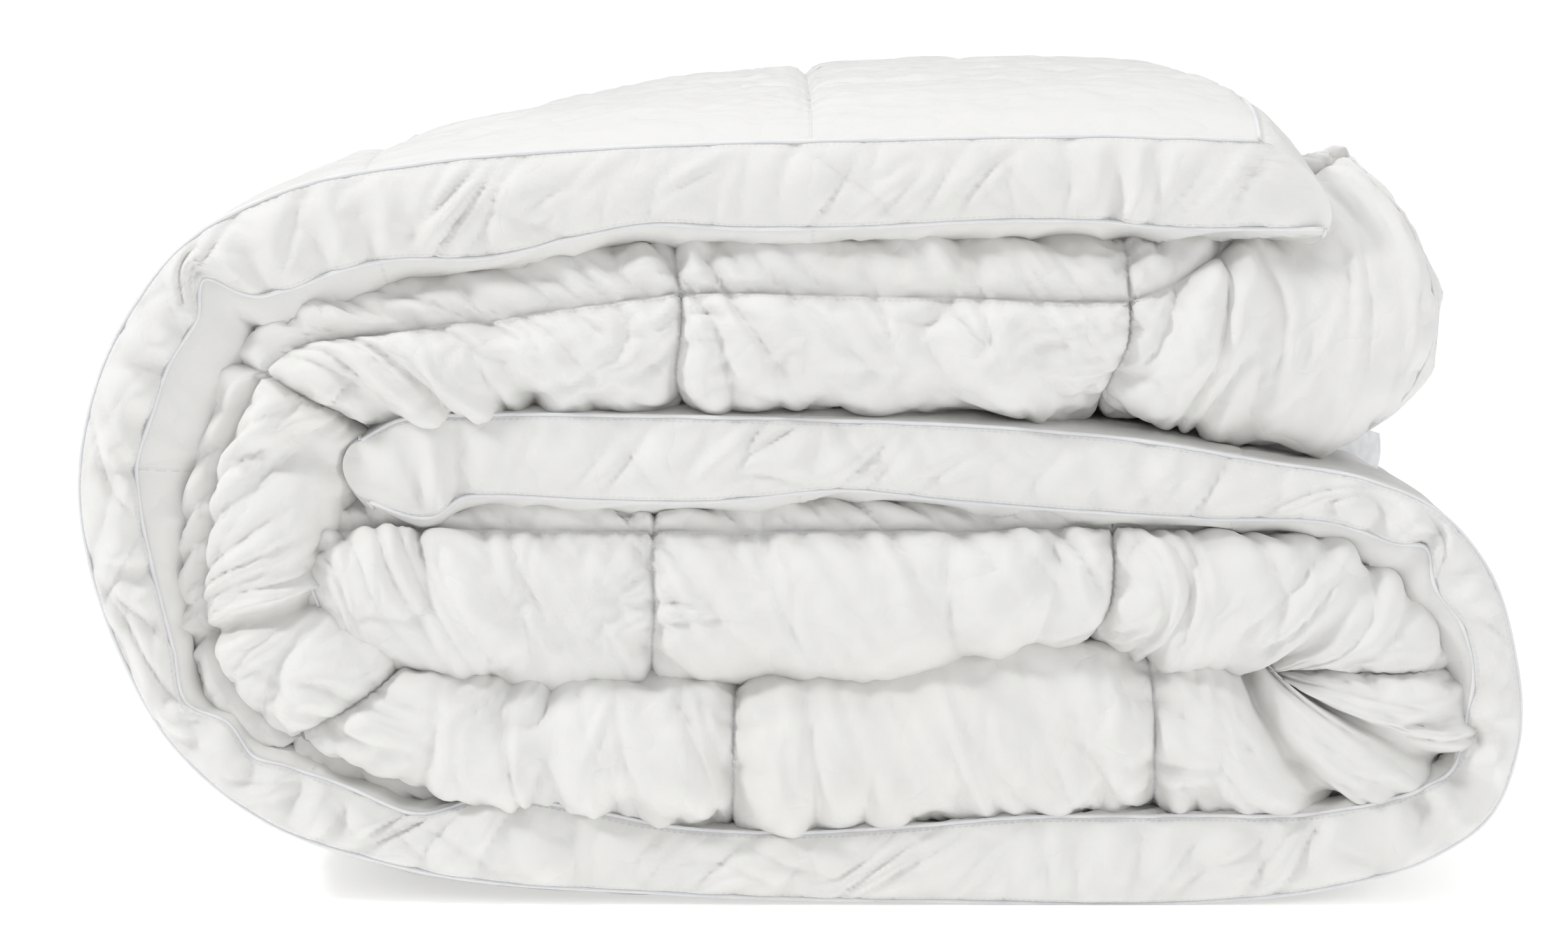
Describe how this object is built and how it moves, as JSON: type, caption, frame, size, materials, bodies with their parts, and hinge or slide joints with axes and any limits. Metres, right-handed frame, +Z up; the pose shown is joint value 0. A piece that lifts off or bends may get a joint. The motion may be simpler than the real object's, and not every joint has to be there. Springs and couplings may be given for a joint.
{
  "type": "duvet",
  "caption": "White box-stitched duvet with a piped gusset, folded in thirds across its width and rolled up lengthwise, lying on its side.",
  "frame": {"origin": "centre of the footprint, on the surface that the roll lies on", "axes": "+Z up from that surface, -Y towards the front, where the roll shows its spiral and the fold between the two inner layers, +X right, towards the side where the outer end of the roll lies on top"},
  "size_m": [0.7478, 0.79, 0.4176],
  "materials": {
    "white_cotton": "matte, fine downproof weave",
    "piping_cotton": "matte, fine weave over a cord",
    "baffle_mesh": "matte light mesh, hidden inside",
    "down": "loose feather and down, hidden inside",
    "label_satin": "satin ribbon, blank"
  },
  "bodies": {
    "root": {"back_gusset": "white_cotton", "back_piping_inner": "piping_cotton", "back_piping_outer": "piping_cotton", "care_label": "label_satin", "cross_baffle_1": "baffle_mesh", "cross_baffle_2": "baffle_mesh", "cross_baffle_3": "baffle_mesh", "cross_baffle_4": "baffle_mesh", "cross_baffle_5": "baffle_mesh", "cross_baffle_6": "baffle_mesh", "cross_baffle_7": "baffle_mesh", "cross_baffle_8": "baffle_mesh", "cross_baffle_9": "baffle_mesh", "end_gusset": "white_cotton", "end_piping_inner": "piping_cotton", "end_piping_outer": "piping_cotton", "fill_row_01": "down", "fill_row_02": "down", "fill_row_03": "down", "fill_row_04": "down", "fill_row_05": "down", "fill_row_06": "down", "fill_row_07": "down", "fill_row_08": "down", "fill_row_09": "down", "fill_row_10": "down", "front_gusset": "white_cotton", "front_piping_inner": "piping_cotton", "front_piping_outer": "piping_cotton", "inner_face": "white_cotton", "outer_face": "white_cotton", "start_gusset": "white_cotton", "start_piping_inner": "piping_cotton", "start_piping_outer": "piping_cotton"}
  },
  "joints": []
}
